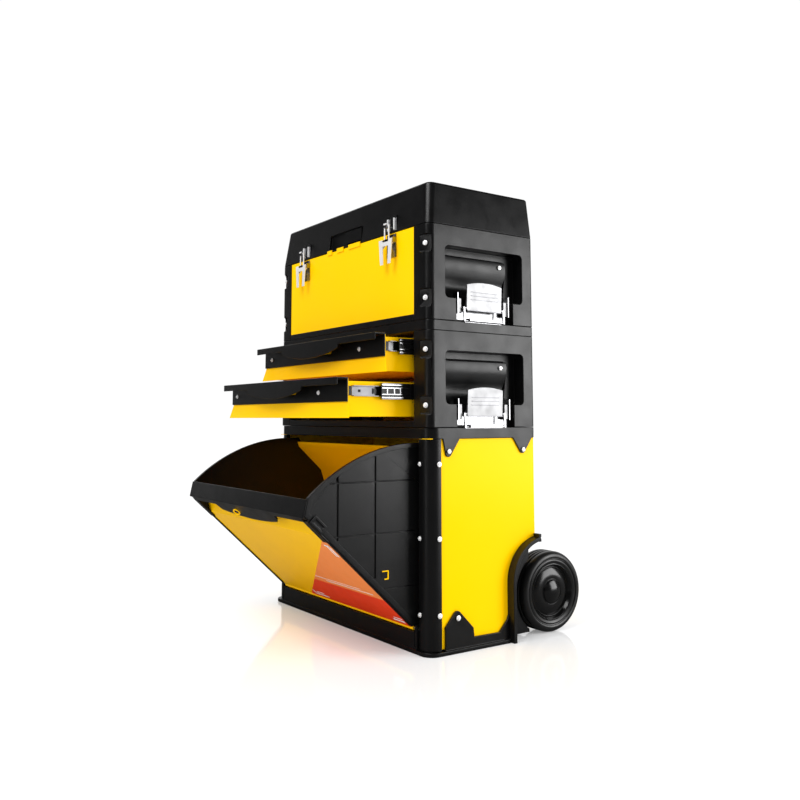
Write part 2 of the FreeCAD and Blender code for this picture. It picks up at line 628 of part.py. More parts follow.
def lid_fittings():
    """Steel fittings of the lid: two hooked catches and the lid's hinge leaves."""
    pieces = []
    for x in (-DRAW_X, DRAW_X):
        plate = box((x - 14, x + 14), (-109.8, -106.5), (656, 681))
        arm = prism("x", [(-108, 660), (-121.3, 660), (-123.2, 662), (-123.2, 666.5), (-122, 666.5),
                          (-122, 662.2), (-108, 662.2)], (x - 4, x + 4))
        pieces.append(fuse(plate, arm).cut(lid_block(0.0, LID_Z, LID_TOP)))
    for side in (-1, 1):
        x0 = side * 175
        knuckle = rod("x", (LID_HINGE_Y, LID_HINGE_Z), 4, (x0 - 10.5, x0 + 10.5))
        web = prism("x", [(110.2, 654.5), (112, 651), (116, 653), (112, 660), (112, 672), (110.2, 672)],
                    (x0 - 10.5, x0 + 10.5))
        leaf = box((x0 - 28, x0 + 28), (110.2, 112), (656, 676))
        leaf = fuse(leaf, knuckle, web).cut(rod("x", (LID_HINGE_Y, LID_HINGE_Z), 2 + FIT, (x0 - 20, x0 + 20)))
        pieces.append(leaf)
    return Part.makeCompound(pieces)


def carry_handle():
    """The folding handle, lying flat in the lid's tray, with its pivots in the tray's end walls."""
    bar = rounded("x", (-19, -7), (705, 716), 4, (-80, 80))
    arms = [rounded("x", (-16, 18), (706.5, 714.5), 3, sorted((side * 72, side * 80))) for side in (-1, 1)]
    stubs = [rod("x", (13, 710.5), 2.5, sorted((side * 79, side * 84.9))) for side in (-1, 1)]
    return fuse(bar, *(arms + stubs))


def write_cabinet():
    save("base_tray", base_tray())
    save("front_posts", front_posts())
    save_pair("side_panel", side_panel())
    save("rear_panel", rear_panel())
    save("cabinet_top_frame", cabinet_top_frame())
    save_pair("wheel_arch", wheel_arch())
    save("axle", rod("x", (WHEEL_Y, WHEEL_R), AXLE_R, (-WHEEL_OUT + 4, WHEEL_OUT - 4)))
    save("bin_hinge_rod", rod("x", (HINGE_Y, HINGE_Z), 3, (-218, 218)))
    save("cabinet_hardware", cabinet_hardware())
    save("handle_guides", handle_guides())
    save("handle_middle_tubes", handle_tubes(11, 9 + FIT, 58, 590))
    save("handle_inner_tubes", handle_tubes(9, 7.6, 64, 626))
    save("handle_grip", handle_grip())
    save_pair("tyre", tyre())
    save_pair("wheel_hub", hub())


def write_bin():
    save("bin_front_panel", opened(bin_front_panel()))
    save("bin_back_panel", opened(bin_back_panel()))
    save("bin_pull", opened(bin_pull()))
    save_pair("bin_side", opened(bin_side()))


def write_module():
    save_pair("module_end", end_moulding(MODULE_Z, MODULE_TOP))
    save("module_rear_panel", closing_panel((107.8, 109), MODULE_Z + 2, MODULE_TOP))
    save("module_floor", module_floor())
    save("module_top_frame", frame_ring(UPPER_R, MODULE_TOP, FRAME_TOPS[1]))
    save("module_slide_rails", module_slide_rails())
    save("module_hardware", module_hardware())
    for name, z, out in zip(("lower", "upper"), DRAWER_Z, DRAWER_OPEN):
        save(name + "_drawer_tray", drawer_tray(z, out))
        save(name + "_drawer_handle", drawer_handle(z, out))
        save(name + "_drawer_slides", drawer_slides(z, out))
        save(name + "_middle_slides", middle_slides(z, out))


def write_box_and_lid():
    save_pair("box_end", end_moulding(BOX_Z, BOX_TOP))
    save("box_front_panel", closing_panel((-109, -107.8), 513, BOX_TOP - 0.5))
    save("box_rear_panel", closing_panel((107.8, 109), BOX_Z + 2, BOX_TOP - 0.5))
    save("box_floor", box_floor())
    save("box_hardware", box_hardware())
    save("lid_shell", lid_shell())
    save("lid_fittings", lid_fittings())
    save("carry_handle", carry_handle())


def write_latches():
    for name, z in zip(("module", "box"), LATCH_Z):
        save_pair(name + "_latch_lever", latch_lever(z))
        save_pair(name + "_latch_bail", latch_bail(z))
    for name, x in (("left", -DRAW_X), ("right", DRAW_X)):
        save("front_latch_lever_" + name, draw_lever(x))
        save("front_latch_loop_" + name, draw_loop(x))


os.makedirs("parts", exist_ok=True)
write_cabinet()
write_bin()
write_module()
write_box_and_lid()
write_latches()
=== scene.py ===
import json
import math

import bpy
from bpy.props import FloatProperty, FloatVectorProperty, PointerProperty
from mathutils import Matrix, Vector

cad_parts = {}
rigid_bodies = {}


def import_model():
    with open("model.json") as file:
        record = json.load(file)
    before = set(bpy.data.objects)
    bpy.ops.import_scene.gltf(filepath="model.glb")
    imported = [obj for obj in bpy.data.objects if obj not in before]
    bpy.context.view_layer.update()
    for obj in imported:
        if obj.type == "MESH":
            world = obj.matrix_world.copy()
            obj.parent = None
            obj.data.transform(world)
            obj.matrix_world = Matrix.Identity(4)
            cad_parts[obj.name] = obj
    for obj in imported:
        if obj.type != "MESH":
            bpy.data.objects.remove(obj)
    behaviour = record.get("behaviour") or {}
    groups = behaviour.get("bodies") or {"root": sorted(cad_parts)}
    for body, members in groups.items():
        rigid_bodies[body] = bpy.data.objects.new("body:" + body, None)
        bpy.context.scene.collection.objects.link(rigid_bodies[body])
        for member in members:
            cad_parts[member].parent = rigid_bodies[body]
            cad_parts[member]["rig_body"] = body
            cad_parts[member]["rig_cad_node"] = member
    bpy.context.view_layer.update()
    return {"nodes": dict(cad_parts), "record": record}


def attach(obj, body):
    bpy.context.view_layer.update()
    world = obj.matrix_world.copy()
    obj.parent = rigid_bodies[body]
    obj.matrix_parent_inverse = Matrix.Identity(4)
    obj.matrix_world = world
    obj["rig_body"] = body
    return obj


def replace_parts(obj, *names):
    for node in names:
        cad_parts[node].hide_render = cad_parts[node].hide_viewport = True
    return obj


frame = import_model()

bl_info = {
    "name": "Rolling Tool Box",
    "version": (1, 0, 0),
    "blender": (4, 5, 0),
    "location": "View3D > Sidebar > Tool Box",
    "description": "A wheeled cabinet with a tilt-out bin, a drawer module and a lidded top box",
    "category": "Add Mesh",
}

MM = 0.001
BEHAVIOUR = frame["record"]["behaviour"]
BODY_OF = {node: body for body, nodes in BEHAVIOUR["bodies"].items() for node in nodes}
JOINTS = {joint["name"]: joint for joint in BEHAVIOUR["joints"]}
SIDES = {"right": 1, "left": -1}

# Places and sizes are in millimetres, but the bin's hinge, the wheel's centre and the camera are in metres.
BIN_HINGE = Vector(JOINTS["bin_tilt"]["pos_m"])
BIN_OPEN = JOINTS["bin_tilt"]["range_deg"][1]
WHEEL_CENTRE = Vector(JOINTS["wheel_right_spin"]["pos_m"])
LATCH_HEIGHTS = {place: JOINTS[place + "_latch_right"]["pos_m"][2] / MM for place in ("module", "box")}
LEVER_FACE, LEVER_LEAN = 248, 2.5    # face of a side latch's lever, and its lean in degrees
DRAWERS = {"lower": (351.0, 116.0), "upper": (421.0, 50.0)}      # underside and pull-out
ENDS = {"module": 336.4, "box": 502.4}                           # underside of each pair of moulded ends
HOLDERS = {"module": "drawer_module", "box": "top_box"}          # body of each pair of moulded ends
CLIP_PLACE, CLIP_TURN = (232, -105), 27                          # the corner clips, and their turn from ahead
CLIP_RISE = (34, 120)                # the corner clips above the foot of their end
POST_SCREWS = (58, 170, 281)         # heights of the screws in each corner post
TAB_SCREWS = (-72, 81.5)             # front and rear screws of the top frame's hanging tabs
WHEEL_RINGS = (                      # radius and thickness in metres, and place across in millimetres
    (0.0535, 0.0007, 239.0), (0.0395, 0.0008, 232.2), (0.0205, 0.0007, 236.2),
)
CAMERA_PLACE = (1.27856, -0.88277, 0.34984)

MOULDINGS = [
    "base_tray", "front_posts", "cabinet_top_frame", "wheel_arch_left", "wheel_arch_right",
    "module_end_left", "module_end_right", "module_floor", "module_top_frame",
    "box_end_left", "box_end_right", "box_floor", "lid_shell", "carry_handle", "handle_grip", "bin_pull",
    "lower_drawer_handle", "upper_drawer_handle",
]
PANELS = [
    "side_panel_left", "side_panel_right", "rear_panel", "bin_front_panel", "bin_back_panel",
    "module_rear_panel", "box_front_panel", "box_rear_panel", "lower_drawer_tray", "upper_drawer_tray",
]
TUBES = ["axle", "bin_hinge_rod", "handle_guides", "handle_middle_tubes", "handle_inner_tubes"]
SLIDES = [
    "module_slide_rails", "lower_drawer_slides", "upper_drawer_slides", "lower_middle_slides",
    "upper_middle_slides",
]
BRIGHT = ["cabinet_hardware", "module_hardware", "box_hardware", "lid_fittings"]
FRONT_LOOPS = [f"front_latch_loop_{side}" for side in SIDES]
LEVERS = [f"{place}_latch_lever_{side}" for place in ("module", "box") for side in SIDES]
BAILS = [f"{place}_latch_bail_{side}" for place in ("module", "box") for side in SIDES]
FRONT_LEVERS = [f"front_latch_lever_{side}" for side in SIDES]


# ---- What a user would change

def colour(name, description, default):
    return FloatVectorProperty(name=name, description=description, subtype="COLOR", size=3, min=0, max=1,
                               default=default)


def length(name, description, default):
    return FloatProperty(name=name, description=description, default=default, min=0, unit="LENGTH",
                         precision=5)


def amount(name, description, default):
    return FloatProperty(name=name, description=description, default=default, min=0)


class ToolBoxFinishes(bpy.types.PropertyGroup):
    """Colours and surface grain."""
    yellow: colour("Panel yellow", "Paint on the sheet steel panels", (1.0, 0.57, 0.0))
    black: colour("Plastic black", "Moulded ends, frames and lid", (0.003, 0.003, 0.0032))
    orange: colour("Label orange", "Upper field of the bin's label", (0.93, 0.27, 0.06))
    red: colour("Label red", "Lower band of the bin's label", (0.86, 0.045, 0.003))
    grain: length("Plastic grain", "Size of the moulded texture", 0.0011)
    plastic_roughness: amount("Plastic roughness", "Roughness of the moulded plastic", 0.33)


class ToolBoxEdges(bpy.types.PropertyGroup):
    """Rounding of edges."""
    moulded: length("Moulded edge", "Rounding of moulded edges", 0.0009)
    sheet: length("Sheet edge", "Rounding of sheet steel edges", 0.0004)
    wire: length("Wire edge", "Rounding of small steel fittings", 0.0002)


class ToolBoxStage(bpy.types.PropertyGroup):
    """Floor, lights and camera."""
    side_light: amount("Side light", "Power of the large light at the right rear, in watts", 27)
    strip_light: amount("Strip light", "Power of the narrow light at the right front, in watts", 4)
    top_light: amount("Top light", "Power of the light over the front, in watts", 42)
    heading: FloatProperty(name="Heading", description="Turn of the camera from straight ahead",
                           subtype="ANGLE", default=math.radians(55.14))
    pitch: FloatProperty(name="Pitch", description="Upward tilt of the camera", subtype="ANGLE",
                         default=math.radians(5.96))
    lens: amount("Lens", "Focal length in millimetres", 38.23)
    shift: FloatProperty(name="Shift", description="Vertical shift of the lens", default=-0.0875)


# ---- Materials

class Shader:
    """A material's node tree, with short ways to add and join its nodes."""

    def __init__(self, name):
        self.material = bpy.data.materials.new("finish_" + name)
        self.material.use_nodes = True
        self.tree = self.material.node_tree
        self.surface = self.tree.nodes["Principled BSDF"]

    def add(self, kind, **settings):
        node = self.tree.nodes.new("ShaderNode" + kind)
        for key, value in settings.items():
            setattr(node, key, value)
        return node

    def join(self, output, socket):
        self.tree.links.new(output, socket)

    def place(self):
        return self.add("TexCoord").outputs["Object"]

    def noise(self, scale, detail=2.0):
        node = self.add("TexNoise")
        node.inputs["Scale"].default_value = scale
        node.inputs["Detail"].default_value = detail
        self.join(self.place(), node.inputs["Vector"])
        return node.outputs["Fac"]

    def ramp(self, value, low, high, stops=(0.3, 0.7)):
        """Runs from one grey or colour to another as a value passes between two stops."""
        node = self.add("ValToRGB")
        for element, at, level in zip(node.color_ramp.elements, stops, (low, high)):
            element.position = at
            element.color = (*level, 1) if isinstance(level, tuple) else (level, level, level, 1)
        self.join(value, node.inputs["Fac"])
        return node.outputs["Color"]

    def bump(self, height, distance, strength=1.0):
        node = self.add("Bump")
        node.inputs["Strength"].default_value = strength
        node.inputs["Distance"].default_value = distance
        self.join(height, node.inputs["Height"])
        return node.outputs["Normal"]

    def constant(self, **levels):
        """Sets sockets that are the same all over."""
        for key, value in levels.items():
            self.surface.inputs[key.replace("_", " ")].default_value = value

    def finish(self, colour, roughness, normal=None):
        self.join(colour, self.surface.inputs["Base Color"])
        self.join(roughness, self.surface.inputs["Roughness"])
        if normal:
            self.join(normal, self.surface.inputs["Normal"])
        return self.material


def near(tint, factor):
    """A lighter or darker tint."""
    return tuple(min(1.0, channel * factor) for channel in tint)


def black_plastic():
    look = bpy.context.scene.tool_box_finishes
    s = Shader("black_plastic")
    tint = tuple(look.black)
    cloud = s.noise(9.0, 3.0)
    rough = s.ramp(s.noise(34.0, 4.0), look.plastic_roughness - 0.05, look.plastic_roughness + 0.06)
    grain = s.bump(s.noise(1 / look.grain, 2.0), 0.00012)
    s.constant(Specular_IOR_Level=0.34)
    return s.finish(s.ramp(cloud, near(tint, 0.85), near(tint, 1.2)), rough, grain)


def yellow_paint():
    look = bpy.context.scene.tool_box_finishes
    s = Shader("yellow_paint")
    tint = tuple(look.yellow)
    peel = s.bump(s.noise(420.0, 1.0), 0.00002, 0.5)
    s.constant(Specular_Tint=(1.0, 0.72, 0.0, 1.0), Specular_IOR_Level=0.22)
    return s.finish(s.ramp(s.noise(2.2, 2.0), near(tint, 0.985), near(tint, 1.0)),
                    s.ramp(s.noise(14.0, 3.0), 0.20, 0.27), peel)


def steel(name, tint, roughness, spread, brushed=None):
    """A metal finish: cloudy roughness, and fine lines along one axis where it is brushed."""
    s = Shader(name)
    s.constant(Metallic=1.0)
    smudge = s.ramp(s.noise(60.0, 3.0), roughness, roughness + spread)
    normal = None
    if brushed:
        lines = s.add("TexNoise")
        lines.inputs["Scale"].default_value = 1.0
        stretch = s.add("Mapping")
        stretch.inputs["Scale"].default_value = brushed
        s.join(s.place(), stretch.inputs["Vector"])
        s.join(stretch.outputs["Vector"], lines.inputs["Vector"])
        normal = s.bump(lines.outputs["Fac"], 0.00002, 0.6)
    return s.finish(s.ramp(s.noise(25.0), near(tint, 0.94), tint), smudge, normal)


def bright_steel():
    return steel("bright_steel", (0.34, 0.34, 0.35), 0.14, 0.12)


def satin_steel():
    """Pale steel that also scatters light, for the fittings on the dark front."""
    pale = steel("satin_steel", (1.0, 1.0, 1.0), 0.34, 0.12)
    pale.node_tree.nodes["Principled BSDF"].inputs["Metallic"].default_value = 0.45
    return pale


def pressed_steel():
    return steel("pressed_steel", (0.30, 0.30, 0.305), 0.38, 0.10)


def slide_steel():
    return steel("slide_steel", (0.20, 0.20, 0.21), 0.28, 0.12, (900.0, 40.0, 900.0))


def tube_steel():
    return steel("tube_steel", (0.62, 0.63, 0.65), 0.22, 0.1, (900.0, 900.0, 30.0))


def tyre_rubber():
    s = Shader("tyre_rubber")
    rough = s.ramp(s.noise(45.0, 4.0), 0.3, 0.42)
    return s.finish(s.ramp(s.noise(20.0, 3.0), 0.004, 0.007), rough, s.bump(s.noise(900.0), 0.00005))


def hub_gloss_black():
    s = Shader("hub_gloss_black")
    rough = s.ramp(s.noise(30.0, 3.0), 0.16, 0.24)
    s.constant(Specular_IOR_Level=0.4)
    return s.finish(s.ramp(s.noise(12.0), 0.003, 0.005), rough, s.bump(s.noise(300.0), 0.00003, 0.5))


def flat_colour(name, tint, roughness):
    s = Shader(name)
    return s.finish(s.ramp(s.noise(30.0), near(tint, 0.95), near(tint, 1.0)),
                    s.ramp(s.noise(50.0), roughness, roughness + 0.08))


# Near-black finish for painted shade: it goes in screw recesses, the bin latch's slots and the slides' holes,
# where shade falls.
def painted_shade_black():
    return flat_colour("painted_shade_black", (0.001, 0.001, 0.001), 0.7)


def label_orange():
    return flat_colour("label_orange", tuple(bpy.context.scene.tool_box_finishes.orange), 0.35)


def label_red():
    return flat_colour("label_red", tuple(bpy.context.scene.tool_box_finishes.red), 0.35)


def label_white():
    return flat_colour("label_white", (0.85, 0.85, 0.85), 0.35)


MATERIALS = {
    "black_plastic": black_plastic, "yellow_paint": yellow_paint, "bright_steel": bright_steel,
    "slide_steel": slide_steel, "tube_steel": tube_steel, "tyre_rubber": tyre_rubber,
    "hub_gloss_black": hub_gloss_black, "pressed_steel": pressed_steel, "satin_steel": satin_steel,
    "painted_shade_black": painted_shade_black, "label_orange": label_orange, "label_red": label_red, "label_white": label_white,
}


def material(name):
    return bpy.data.materials.get("finish_" + name) or MATERIALS[name]()


def paint(piece, *names):
    """Gives a piece its finishes; the first one is all over until faces are given another."""
    piece.data.materials.clear()
    for name in names:
        piece.data.materials.append(material(name))


# ---- Ways of working

def only(piece):
    bpy.ops.object.select_all(action="DESELECT")
    piece.select_set(True)
    bpy.context.view_layer.objects.active = piece


def seat(piece, body):
    """Puts a finished piece's place in its mesh, and gives it its body."""
    only(piece)
    bpy.ops.object.transform_apply(location=True, rotation=True, scale=True)
    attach(piece, body)


def settle(piece, body, slot):
    """Paints a piece in the finish named for its slot, and seats it."""
    paint(piece, slot)
    seat(piece, body)


def aside(way, near_side, far_side):
    """Two distances out from the middle on one side, lowest first."""
    return sorted((way * near_side, way * far_side))


def block(name, x, y, z):
    """A box between two places on each axis, in millimetres."""
    bpy.ops.object.select_all(action="DESELECT")
    low, high = (Vector(place) * MM for place in zip(x, y, z))
    bpy.ops.mesh.primitive_cube_add(size=1, location=(low + high) / 2, scale=high - low)
    piece = bpy.context.object
    piece.name = name
    bpy.ops.object.transform_apply(location=True, rotation=True, scale=True)
    return piece


def joined(name, pieces):
    """Makes one piece of several."""
    bpy.ops.object.select_all(action="DESELECT")
    for piece in pieces:
        piece.select_set(True)
    bpy.context.view_layer.objects.active = pieces[0]
    bpy.ops.object.join()
    pieces[0].name = name
    return pieces[0]


def carved(piece, cutter):
    """Cuts one piece's shape out of another."""
    only(piece)
    carving = piece.modifiers.new("Carving", "BOOLEAN")
    carving.object = cutter
    carving.solver = "EXACT"
    bpy.ops.object.modifier_apply(modifier=carving.name)
    if not piece.data.polygons:
        raise RuntimeError(piece.name + " was carved away")
    only(cutter)
    bpy.ops.object.delete()


def sliced(piece, place, normal):
    """Cuts away what lies beyond a plane, and closes the cut. The place is in millimetres."""
    only(piece)
    bpy.ops.object.mode_set(mode="EDIT")
    bpy.ops.mesh.select_all(action="SELECT")
    bpy.ops.mesh.bisect(plane_co=Vector(place) * MM, plane_no=normal, use_fill=True, clear_outer=True)
    bpy.ops.object.mode_set(mode="OBJECT")


def turned(piece, centre, degrees, axis):
    """Turns a piece about a place in metres."""
    swing = Matrix.Rotation(math.radians(degrees), 4, axis)
    piece.matrix_world = Matrix.Translation(centre) @ swing @ Matrix.Translation(-centre) @ piece.matrix_world
    return piece


def on_bin(piece):
    """Turns a piece made on the closed bin to where the bin stands open."""
    return turned(piece, BIN_HINGE, BIN_OPEN, "X")


def mirrored_copy(piece, name):
    """A copy of a piece on the other side of the body, with its own mesh."""
    copy = piece.copy()
    copy.data = piece.data.copy()
    copy.name = name
    bpy.context.scene.collection.objects.link(copy)
    only(copy)
    copy.scale.x = -1
    bpy.ops.object.transform_apply(location=False, rotation=False, scale=True)
    bpy.ops.object.mode_set(mode="EDIT")
    bpy.ops.mesh.select_all(action="SELECT")
    bpy.ops.mesh.normals_make_consistent(inside=False)
    bpy.ops.object.mode_set(mode="OBJECT")
    return copy


def round_edges(piece, width, segments=2, angle=35.0):
    """Rounds the sharp edges, and keeps the flat faces flat in their shading."""
    only(piece)
    bpy.ops.object.shade_smooth()
    rounding = piece.modifiers.new("Rounding", "BEVEL")
    rounding.width = width
    rounding.segments = segments
    rounding.limit_method = "ANGLE"
    rounding.angle_limit = math.radians(angle)
    rounding.use_clamp_overlap = False
    bpy.ops.object.modifier_apply(modifier=rounding.name)
    flatten = piece.modifiers.new("Flat faces", "WEIGHTED_NORMAL")
    flatten.keep_sharp = True
    bpy.ops.object.modifier_apply(modifier=flatten.name)


def merged(node):
    """A copy of a CAD node with its triangles joined up, standing in for it."""
    source = frame["nodes"][node]
    piece = source.copy()
    piece.data = source.data.copy()
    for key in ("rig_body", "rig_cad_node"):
        del piece[key]
    piece.parent = None
    piece.name = node + "_finished"
    bpy.context.scene.collection.objects.link(piece)
    only(piece)
    bpy.ops.mesh.customdata_custom_splitnormals_clear()
    bpy.ops.object.mode_set(mode="EDIT")
    bpy.ops.mesh.select_all(action="SELECT")
    bpy.ops.mesh.remove_doubles(threshold=0.000002)
    bpy.ops.object.mode_set(mode="OBJECT")
    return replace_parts(piece, node)


def softened(node, width):
    """A merged copy with the triangles of each flat side made one face and the edges rounded."""
    piece = merged(node)
    bpy.ops.object.mode_set(mode="EDIT")
    bpy.ops.mesh.select_all(action="SELECT")
    bpy.ops.mesh.dissolve_limited(angle_limit=math.radians(0.6))
    bpy.ops.object.mode_set(mode="OBJECT")
    round_edges(piece, width)
    return piece


def soften_all(nodes, width, slot):
    """Softens nodes that share a finish, each on its own body."""
    for node in nodes:
        settle(softened(node, width), BODY_OF[node], slot)


# ---- Operators

class TOOLBOX_OT_mouldings(bpy.types.Operator):
    """Rounds and finishes the black moulded parts, and hooks the ends of the wheel arches"""
    bl_idname = "toolbox.mouldings"
    bl_label = "Mouldings"

    def execute(self, context):
        edge = context.scene.tool_box_edges.moulded
        soften_all(MOULDINGS, edge, "black_plastic")
        for side, way in SIDES.items():
            hook = block("arch_hook_" + side, aside(way, 243, 256.6), (104, 109), (151.5, 164))
            carved(hook, block("notch", aside(way, 242, 258), (106.5, 110), (156, 159)))
            round_edges(hook, edge / 2)
            settle(hook, "cabinet", "black_plastic")
        return {"FINISHED"}


class TOOLBOX_OT_panels(bpy.types.Operator):
    """Rounds and finishes the painted sheet steel"""
    bl_idname = "toolbox.panels"
    bl_label = "Panels"

    def execute(self, context):
        soften_all(PANELS, context.scene.tool_box_edges.sheet, "yellow_paint")
        return {"FINISHED"}


GROOVES = [                          # across and up, on the bin's sides as it stands open
    ((-250, -246.5), (176, 264)), ((-186, -182), (117, 294)),
    ((-262, -112), (256.2, 257.8)), ((-254, -112), (180.2, 181.8)), ((-168, -112), (99.2, 100.8)),
]


class TOOLBOX_OT_bin_sides(bpy.types.Operator):
    """Makes the bin's side plates, with their moulded grooves"""
    bl_idname = "toolbox.bin_sides"
    bl_label = "Bin sides"

    def execute(self, context):
        width = context.scene.tool_box_edges.moulded
        for side, way in SIDES.items():
            plate = merged("bin_side_" + side)
            depth = aside(way, 208.6, 210.9)
            for y, z in GROOVES:
                carved(plate, block("groove", depth, y, z))
            round_edges(plate, width / 2)
            settle(plate, "bin", "black_plastic")
        return {"FINISHED"}


class TOOLBOX_OT_bin_fittings(bpy.types.Operator):
    """Makes the guards, clips and loop on the bin, and a near-black block in each latch slot as painted shade
    """
    bl_idname = "toolbox.bin_fittings"
    bl_label = "Bin fittings"

    def execute(self, context):
        edge = context.scene.tool_box_edges.moulded
        for side, way in SIDES.items():
            guard = block("bin_corner_guard_" + side, aside(way, 197, 213), (-114.6, -111.9), (243, 292))
            shoulder = block("shoulder", aside(way, 205, 213), (-113.6, -111.9), (45, 246))
            guard = joined(guard.name, [guard, shoulder])
            round_edges(guard, edge)
            settle(on_bin(guard), "bin", "black_plastic")
            clip = block("bin_clip_" + side, aside(way, 213, 217), (-114, -100), (262, 288))
            groove = block("groove", aside(way, 215.5, 218), (-110, -104), (266, 284))
            carved(clip, groove)
            round_edges(clip, edge)
            settle(on_bin(clip), "bin", "black_plastic")
            strip = aside(way, 210, 211.6)
            bent = [block("bent", strip, (-161.6, -160), (113.5, 126.4)),
                    block("bent", strip, (-171, -161.6), (125, 126.4)),
                    block("bent", strip, (-167, -161.6), (113.5, 114.9))]
            settle(joined("bin_latch_tongue_" + side, bent), "bin", "yellow_paint")
            # A thin near-black block where the latch's slot is: painted shade, no slot is cut.
            slot = block("bin_latch_slot_shade_" + side, aside(way, 210, 210.9), (-173, -161.6), (117.5, 125))
            settle(slot, "bin", "painted_shade_black")
        bpy.ops.object.select_all(action="DESELECT")
        bpy.ops.mesh.primitive_torus_add(major_radius=0.0055, minor_radius=0.0013,
                                         location=(-0.035, -0.1172, 0.2815),
                                         rotation=(math.radians(90), 0, math.radians(18)))
        loop = bpy.context.object
        loop.name = "bin_loop"
        only(loop)
        bpy.ops.object.shade_smooth()
        settle(on_bin(loop), "bin", "yellow_paint")
        return {"FINISHED"}


class TOOLBOX_OT_label(bpy.types.Operator):
    """Makes the plain two-colour label on the bin's front"""
    bl_idname = "toolbox.label"
    bl_label = "Label"

    def execute(self, context):
        slope = Vector((-196, 0, 286)).normalized()
        fields = (("label_band", 40.2, 105, "label_red"), ("label_field", 105, 242, "label_orange"))
        for name, low, high, slot in fields:
            sheet = block(name, (-100, 203.5), (-112.35, -111.9), (low, high))
            sliced(sheet, (-98, 0, 45), slope)
            sliced(sheet, (0, 0, 241), (0, 0, 1))
            settle(on_bin(sheet), "bin", slot)
        marks = [
            ((187, 190), (206, 232)), ((193, 196), (206, 232)), ((182, 196), (229, 232)),
            ((-78, -74), (48, 58)), ((-78, -30), (47, 50)), ((-66, -40), (54, 56)),
            ((168, 198), (48, 52)), ((176, 198), (56, 58)), ((40, 180), (112, 113.5)),
            ((10, 150), (118, 119)),
        ]
        strokes = [block("stroke", x, (-112.6, -112.2), z) for x, z in marks]
        settle(on_bin(joined("label_strokes", strokes)), "bin", "label_white")
        return {"FINISHED"}


class TOOLBOX_OT_metalwork(bpy.types.Operator):
    """Finishes the tubes, slides and bright fittings"""
    bl_idname = "toolbox.metalwork"
    bl_label = "Metalwork"

    def execute(self, context):
        edge = context.scene.tool_box_edges.wire
        for nodes, slot in ((TUBES, "tube_steel"), (SLIDES, "slide_steel"), (BRIGHT, "bright_steel"),
                            (FRONT_LOOPS, "satin_steel"), (BAILS, "bright_steel")):
            for node in nodes:
                paint(frame["nodes"][node], slot)
        for nodes, finish in ((FRONT_LEVERS, "satin_steel"), (LEVERS, "pressed_steel")):
            for node in nodes:
                piece = softened(node, edge)
                paint(piece, finish)
                seat(piece, BODY_OF[node])
        return {"FINISHED"}


def screw_head():
    """A screw head with a cross recess, facing up: a domed disc whose cross recess is painted near-black as
    painted shade.
    """
    bpy.ops.object.select_all(action="DESELECT")
    bpy.ops.mesh.primitive_cylinder_add(vertices=32, radius=0.0041, depth=0.0014, location=(0, 0, 0.0007))
    head = bpy.context.object
    bpy.ops.object.transform_apply(location=True, rotation=True, scale=True)
    round_edges(head, 0.0009, 3, 50)
    for x, y in ((2.5, 0.65), (0.65, 2.5)):
        carved(head, block("bar", (-x, x), (-y, y), (0.5, 3)))
    # The faces down in the cross recess get the near-black finish: painted shade.
    paint(head, "satin_steel", "painted_shade_black")
    for face in head.data.polygons:
        in_painted_shade = face.center.z < 0.0013 and face.center.xy.length < 0.0028
        face.material_index = 1 if in_painted_shade else 0
    return head


def screw_places():
    """Each screw's place in millimetres, the way it faces, its radius and its body."""
    turn = math.radians(CLIP_TURN)
    for way in SIDES.values():
        for z in POST_SCREWS:
            yield (way * 245, -91, z), (way, 0, 0), 4, 1.6, "cabinet"
            yield (way * 223, -110, z), (0, -1, 0), 3.5, 1.6, "cabinet"
        for y in TAB_SCREWS:
            yield (way * 245, y, 300), (way, 0, 0), 3.5, 2, "cabinet"
        yield (way * 246, -57, 51), (way, 0, 0), 4, 2, "cabinet"
        for place, foot in ENDS.items():
            body = HOLDERS[place]
            x, y = CLIP_PLACE
            for rise in CLIP_RISE:
                yield (way * x, y, foot + rise), (way * math.sin(turn), -math.cos(turn), 0), 4, 2.4, body
            yield (way * 232.5, 45, foot + 95.5), (way, 0, 0), 3.5, 2, body
    for name, xs in (("lower", (-182, 121)), ("upper", (-175, 134))):
        z, out = DRAWERS[name]
        for x in xs:
            yield (x, -114.5 - out, z + 39), (0, -1, 0), 3.6, 0.8, name + "_drawer"


class TOOLBOX_OT_screws(bpy.types.Operator):
    """Puts the cross-recess screw heads on"""
    bl_idname = "toolbox.screws"
    bl_label = "Screws"

    def execute(self, context):
        master = screw_head()
        for number, (place, way, radius, height, body) in enumerate(screw_places()):
            head = master.copy()
            head.data = master.data.copy()
            head.name = f"screw_{number:02d}"
            context.scene.collection.objects.link(head)
            face = Vector(way).to_track_quat("Z", "Y").to_matrix().to_4x4()
            raised = (Vector(place) + Vector(way) * (height - 0.9)) * MM
            size = Matrix.Scale(radius / 4, 4)
            head.matrix_world = Matrix.Translation(raised) @ face @ Matrix.Rotation(number, 4, "Z") @ size
            seat(head, body)
        only(master)
        bpy.ops.object.delete()
        return {"FINISHED"}


